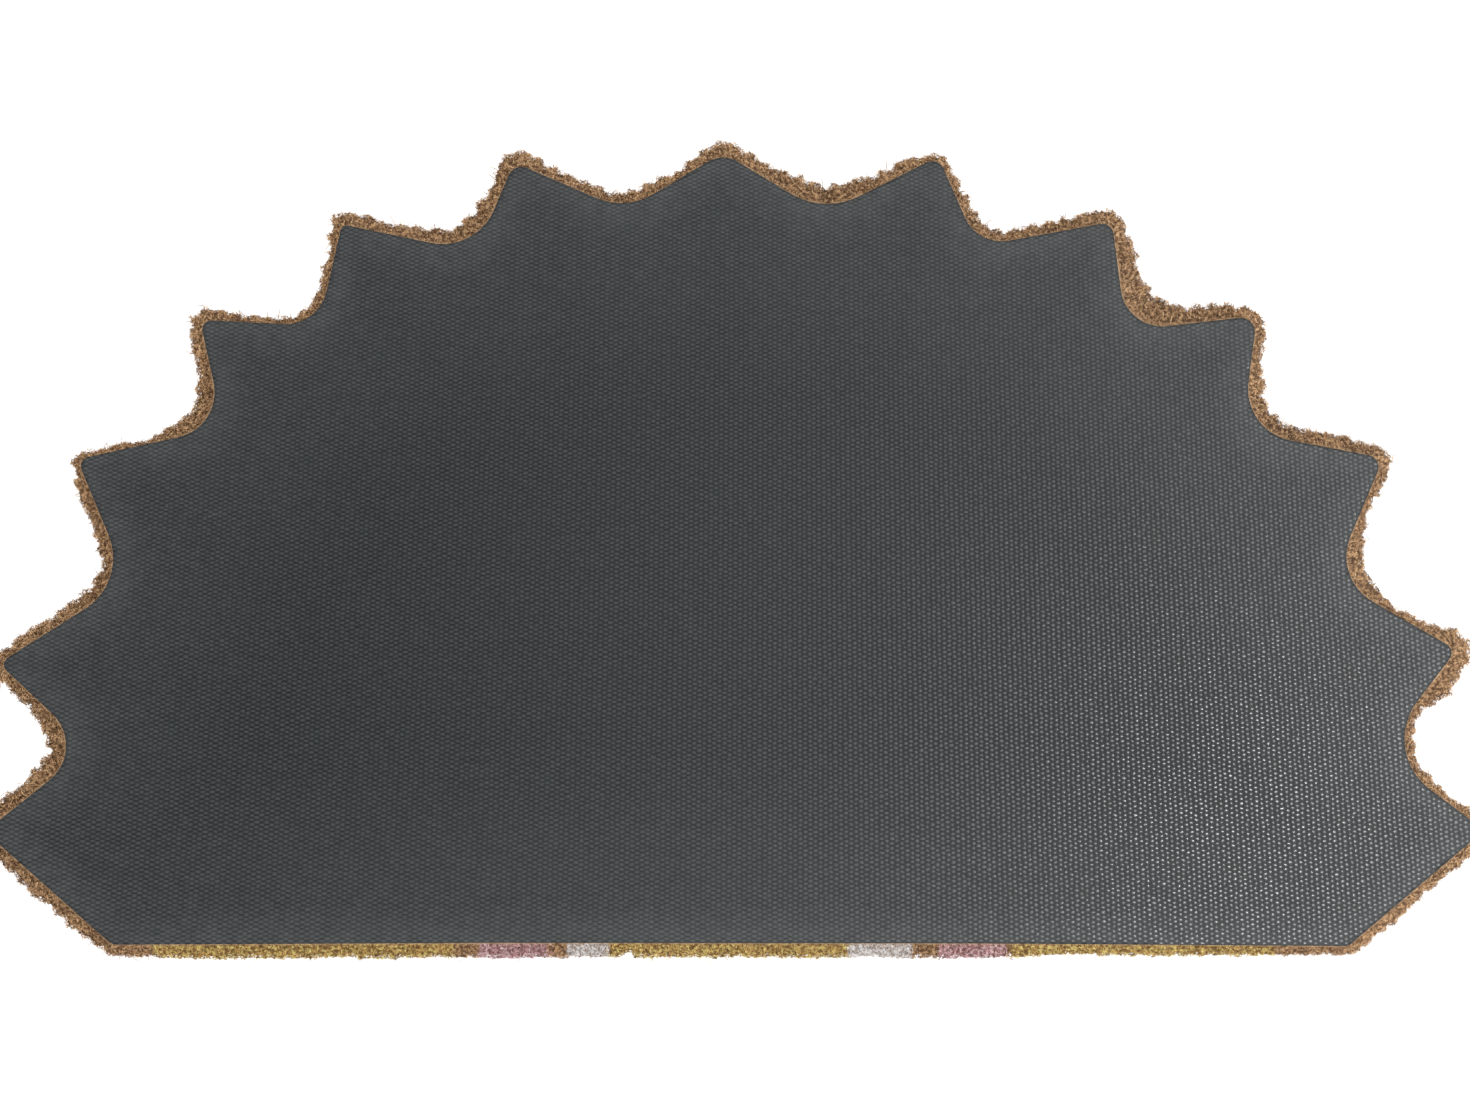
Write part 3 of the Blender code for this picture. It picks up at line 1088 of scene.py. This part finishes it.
def make_rim_bristles(coir, rim, materials):
    """Bristles that lean out from their roots at the cut edge, as two pieces."""
    draw = draws_for(coir, "bristles")
    lumps = rim_lumps(coir, rim)
    total = int(len(rim.place) * RIM_STEP * coir.root_density)
    chosen = rim_samples(rim, total, draw)
    reach = rim.reach[chosen]
    steps = np.arange(4) / 3

    # Each runs out along the flare, from one share of the rim's reach to another
    start = draw.uniform(*BRISTLE_START, total)
    end = start + draw.uniform(*BRISTLE_RUN, total)
    share = start[:, None] + (end - start)[:, None] * steps
    aside = draw.uniform(-0.5, 0.5, total) * RIM_STEP
    along = chosen * RIM_STEP + aside

    # It leans with its tuft, curls to the side and arches up off the flare
    tuft = lumps(along, reach * BRISTLE_TUFT)
    lean = tuft * BRISTLE_FOLLOW + draw.normal(0.0, BRISTLE_LEAN, total)
    wave = draw.uniform(0.0, math.tau, (total, 2))
    curl = coir.curl * draw.lognormal(0.0, 0.4, (total, 1))
    length = reach * (end - start)
    sideways = aside[:, None] + (length * np.tan(lean.clip(-1, 1)))[:, None] * steps
    sideways += curl * np.sin(wave[:, :1] + steps * BRISTLE_TURNS[0]) * steps
    arch = draw.uniform(0.0, BRISTLE_ARCH, total)[:, None]
    rise = arch * np.sin(math.pi * (0.15 + 0.7 * steps))
    out = reach[:, None] * share + rise
    height = PILE_HIGH.z - PILE_TALL * depth_of(share.clip(0.0, 1.0)) + rise
    height += curl * 0.5 * np.sin(wave[:, 1:] + steps * BRISTLE_TURNS[1]) * steps
    paths = rim_paths(rim, chosen, out, sideways, height)
    radii = coir.width / 2 * draw.lognormal(0.0, 0.2, total)
    # Their tones carry painted light on standing tufts and painted shade in the dips
    tones = shaded_tones(tuft, draw, middle=0.55, follow=0.22, spread=0.20)
    dyes = rim_dyes(paths[:, 0, :2], rim.normal[chosen], draw)
    return halves("rim_bristles", paths, radii, tones, dyes, share.clip(0.0, 1.0), materials)


def bent(length, steps, draw, lean, bend):
    """How far fibres go out and sideways by each step, as they lean and bend by chance."""
    heading = draw.normal(0.0, lean, len(length))[:, None]
    heading = heading + draw.normal(0.0, bend, len(length))[:, None] * steps
    ahead = length[:, None] * steps
    return ahead * np.cos(heading), ahead * np.sin(heading)


def make_rim_curls(coir, rim, materials):
    """Short curled ends that crumble over the outer rim in tufts, as two pieces."""
    draw = draws_for(coir, "curls")
    lumps = rim_lumps(coir, rim)
    total = int(len(rim.place) * RIM_STEP * coir.curl_density)
    chosen = rim_samples(rim, total, draw)
    reach = rim.reach[chosen]
    steps = np.arange(3) / 2

    # Each starts just inside the flare, on its tuft
    depth = draw.uniform(*CURL_DEPTHS, total)
    share = flare(depth)
    aside = draw.uniform(-0.5, 0.5, total) * RIM_STEP
    tuft = lumps(chosen * RIM_STEP + aside, reach * share)
    length = coir.curl_length * draw.lognormal(0.0, 0.3, total)
    outward, sideways = bent(length, steps, draw, lean=0.95, bend=0.8)
    out = (reach * share * CURL_ROOT + coir.lumpiness * CURL_PROUD * tuft)[:, None]
    out = out + outward * 0.8

    # What would pass the rim's own reach by too much is drawn in and turned down
    spare = draw.exponential(CURL_SPARE, total)
    most = reach + coir.lumpiness * 1.5 * tuft.clip(-1, 1) + spare
    over = np.maximum(out - most[:, None], 0.0)
    out -= over * CURL_DRAWN_IN
    lift = draw.uniform(-0.1, 1.0, total)[:, None] * steps * coir.curl_length * CURL_LIFT
    fall = np.where(depth[:, None] < WIDEST_DEPTH, outward * 0.6, 0.0)
    height = (PILE_HIGH.z - PILE_TALL * depth + coir.lumpiness * 0.5 * tuft)[:, None]
    height = height - fall * 0.7 + lift - over * 0.5
    paths = rim_paths(rim, chosen, out, aside[:, None] + sideways, height)
    radii = coir.width / 2 * draw.lognormal(0.0, 0.2, total)
    # Their tones carry painted light on standing tufts and painted shade in the dips
    tones = shaded_tones(tuft, draw, middle=0.48, follow=0.36, spread=0.32)
    dyes = rim_dyes(paths[:, 0, :2], rim.normal[chosen], draw)
    shares = np.repeat(share[:, None], len(steps), axis=1)
    return halves("rim_curls", paths, radii, tones, dyes, shares, materials)


def make_strays(coir, rim, materials):
    """Single fibres that stand out past the rim."""
    draw = draws_for(coir, "strays")
    total = coir.strays
    chosen = rim_samples(rim, total, draw)
    reach = rim.reach[chosen]
    steps = np.arange(6) / 5
    length = STRAY_LENGTH + draw.exponential(STRAY_GROWTH, total).clip(0.0, STRAY_MOST)
    outward, sideways = bent(length, steps, draw, lean=0.6, bend=0.9)
    depth = draw.uniform(*STRAY_DEPTHS, total)
    out = (reach * flare(depth) * STRAY_ROOT)[:, None] + outward
    drop = length[:, None] * steps * draw.uniform(-0.3, 0.5, (total, 1))
    height = (PILE_HIGH.z - PILE_TALL * depth)[:, None] - drop
    paths = rim_paths(rim, chosen, out, sideways, height)
    radii = coir.width * STRAY_THICK * draw.lognormal(0.0, 0.15, total)
    tones = draw.uniform(0.45, 1.0, total)
    dyes = rim_dyes(paths[:, 0, :2], rim.normal[chosen], draw)
    piece, per = strands("stray_fibres", paths, radii, tones, dyes, materials)
    add_values(piece, "along", np.full(total * per, STRAY_SHARE))
    return [piece]


def halves(name, paths, radii, tones, dyes, shares, materials):
    """Fibres as a left and a right piece, with how far out each point lies on the rim."""
    made = []
    tones = tones.clip(0.0, 1.0)
    leftward = paths[:, 0, 0] < RAYS_CENTRE[0]
    for side, half in (("left", leftward), ("right", ~leftward)):
        piece, _ = strands(
            f"{name}_{side}", paths[half], radii[half], tones[half], dyes[half], materials)
        body = np.repeat(shares[half, :-1], SIDES, axis=1)
        add_values(piece, "along", np.hstack([body, shares[half, -1:]]))
        made.append(piece)
    return made


def make_walking_face(coir, rim, materials):
    """Cut bristle ends of the walking face, which points down, as two pieces."""
    draw = draws_for(coir, "face")
    loop = (rim.place + rim.normal * (rim.reach * FACE_REACH)[:, None])[::3]
    low, high = loop.min(axis=0), loop.max(axis=0)
    grid_x, grid_y = np.meshgrid(
        np.arange(low[0], high[0], coir.face_pitch),
        np.arange(low[1], high[1], coir.face_pitch * math.sqrt(3) / 2), indexing="ij")
    grid_x = grid_x + coir.face_pitch / 2 * (np.arange(grid_x.shape[1]) % 2)
    spots = np.column_stack([grid_x.ravel(), grid_y.ravel()])
    spots += draw.uniform(-FACE_DRIFT, FACE_DRIFT, spots.shape) * coir.face_pitch
    spots = spots[inside(loop, spots)]
    total = len(spots)
    root = PILE_HIGH.z - PILE_TALL * FACE_ROOT
    tip = PILE_LOW.z + draw.uniform(0.0, FACE_UNEVEN, total)
    lean = draw.normal(0.0, FACE_LEAN, (total, 2))
    paths = np.empty((total, 2, 3))
    paths[:, 0, :2], paths[:, 0, 2] = spots, root
    paths[:, 1, :2], paths[:, 1, 2] = spots + lean, tip
    radii = np.full(total, coir.face_pitch * FACE_THICK)
    tones = draw.uniform(0.1, 0.9, total)
    dyes = dye_at(spots[:, 0], spots[:, 1], FACE_DYE_BLUR, draw)
    shares = np.tile((0.3, 0.9), (total, 1))
    return halves("walking_face", paths, radii, tones, dyes, shares, materials)


# Operators

def settings():
    return bpy.context.scene.doormat


class DOORMAT_OT_bristle_bed(Operator):
    """Packed bristles behind the loose fibres"""

    bl_idname = "doormat.bristle_bed"
    bl_label = "Bristle bed"

    def execute(self, context):
        made = make_bed(settings().coir, cut_rim())
        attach(made, "root")
        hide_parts("pile")
        return {"FINISHED"}


class DOORMAT_OT_backing(Operator):
    """Embossed vinyl sheet"""

    bl_idname = "doormat.backing"
    bl_label = "Vinyl backing"

    def execute(self, context):
        made, loop = make_backing(settings().backing)
        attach(made, "root")
        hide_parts("backing")
        return {"FINISHED"}


def add_fibres(make):
    """Fibre pieces from one of the functions above, riding on the mat."""
    coir = settings().coir
    for made in make(coir, cut_rim(), finishes(coir_finish, "coir", coir)):
        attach(made, "root")


class DOORMAT_OT_rim_bristles(Operator):
    """Bristles that lean out from the cut edge"""

    bl_idname = "doormat.rim_bristles"
    bl_label = "Rim bristles"

    def execute(self, context):
        add_fibres(make_rim_bristles)
        return {"FINISHED"}


class DOORMAT_OT_rim_curls(Operator):
    """Short curled ends over the outer rim, and the strays past it"""

    bl_idname = "doormat.rim_curls"
    bl_label = "Rim curls"

    def execute(self, context):
        add_fibres(make_rim_curls)
        add_fibres(make_strays)
        return {"FINISHED"}


class DOORMAT_OT_walking_face(Operator):
    """Bristle ends of the walking face"""

    bl_idname = "doormat.walking_face"
    bl_label = "Walking face"

    def execute(self, context):
        add_fibres(make_walking_face)
        return {"FINISHED"}


class DOORMAT_OT_stage(Operator):
    """Pale floor, soft light and the camera above the mat"""

    bl_idname = "doormat.stage"
    bl_label = "Stage"

    def execute(self, context):
        stage = settings().stage
        make_floor(stage)
        make_lights(stage)
        make_camera(stage)
        return {"FINISHED"}


def make_floor(stage):
    """Matt grey floor that glows a little, so that it shows as white."""
    bpy.ops.mesh.primitive_plane_add(
        size=FLOOR_SIZE, location=(0.0, 0.0, PILE_LOW.z - FLOOR_DROP))
    floor = bpy.context.object
    floor.name = "floor"
    finish = Finish("pale_floor")
    finish.fill(finish.surface, {
        "Base Color": (0.5, 0.5, 0.5, 1.0), "Roughness": 0.9,
        "Emission Color": WHITE, "Emission Strength": stage.floor_glow})
    floor.data.materials.append(finish.material)


def area_light(name, place, target, width, power):
    """A round light that the camera doesn't see."""
    lamp = bpy.data.lights.new(name, "AREA")
    lamp.shape = "DISK"
    lamp.size = width
    lamp.energy = power
    made = bpy.data.objects.new(name, lamp)
    bpy.context.scene.collection.objects.link(made)
    made.location = place
    made.rotation_euler = (Vector(target) - Vector(place)).to_track_quat("-Z", "Y").to_euler()
    made.visible_camera = False
    return made


def make_lights(stage):
    """An even sky, two lights that only glint and one that only shades."""
    world = bpy.data.worlds.new("soft_studio")
    world.use_nodes = True
    sky = world.node_tree.nodes["Background"]
    sky.inputs["Color"].default_value = WHITE
    sky.inputs["Strength"].default_value = stage.sky
    bpy.context.scene.world = world
    for name, place, width, power in (
            ("gloss_light", GLOSS_PLACE, GLOSS_WIDTH, stage.gloss),
            ("side_light", SIDE_PLACE, SIDE_WIDTH, stage.side)):
        lamp = area_light(name, place, GLINT_SPOT, width, power)
        lamp.visible_diffuse = False
    key = area_light("key_light", KEY_PLACE, (0.0, 0.0, 0.0), KEY_WIDTH, stage.key)
    key.visible_glossy = False


def make_camera(stage):
    """Camera nearly straight above the mat."""
    lens = bpy.data.cameras.new("camera")
    lens.lens = stage.lens
    camera = bpy.data.objects.new("camera", lens)
    bpy.context.scene.collection.objects.link(camera)
    aim = Vector((RAYS_CENTRE[0] + VIEW_SHIFT[0], RAYS_CENTRE[1] + VIEW_SHIFT[1], BACKING_HIGH.z))
    away = stage.view_width * stage.lens / lens.sensor_width
    back = Vector((0.0, -math.cos(stage.elevation), math.sin(stage.elevation)))
    camera.location = aim + back * away
    camera.rotation_mode = "QUATERNION"
    camera.rotation_quaternion = (-back).to_track_quat("-Z", "Y")
    bpy.context.scene.camera = camera
    bpy.context.scene.view_settings.view_transform = "Standard"


class DOORMAT_PT_sidebar(Panel):
    """Lists the steps that build the doormat"""

    bl_idname = "DOORMAT_PT_sidebar"
    bl_label = "Coir doormat"
    bl_space_type = "VIEW_3D"
    bl_region_type = "UI"
    bl_category = "Doormat"

    def draw(self, context):
        for step in STEPS:
            self.layout.operator(step.bl_idname)
        for group in ("backing", "coir", "stage"):
            box = self.layout.box()
            chosen = getattr(context.scene.doormat, group)
            for name in chosen.__annotations__:
                box.prop(chosen, name)


STEPS = (
    DOORMAT_OT_bristle_bed,
    DOORMAT_OT_backing,
    DOORMAT_OT_rim_bristles,
    DOORMAT_OT_rim_curls,
    DOORMAT_OT_walking_face,
    DOORMAT_OT_stage,
)
GROUPS = (BackingSettings, CoirSettings, StageSettings, DoormatSettings)


def register():
    for made in GROUPS + STEPS + (DOORMAT_PT_sidebar,):
        bpy.utils.register_class(made)
    bpy.types.Scene.doormat = PointerProperty(type=DoormatSettings)


def unregister():
    del bpy.types.Scene.doormat
    for made in reversed(GROUPS + STEPS + (DOORMAT_PT_sidebar,)):
        bpy.utils.unregister_class(made)


def main():
    register()
    bpy.ops.doormat.bristle_bed()
    bpy.ops.doormat.backing()
    bpy.ops.doormat.rim_bristles()
    bpy.ops.doormat.rim_curls()
    bpy.ops.doormat.walking_face()
    bpy.ops.doormat.stage()


if __name__ == "__main__":
    main()
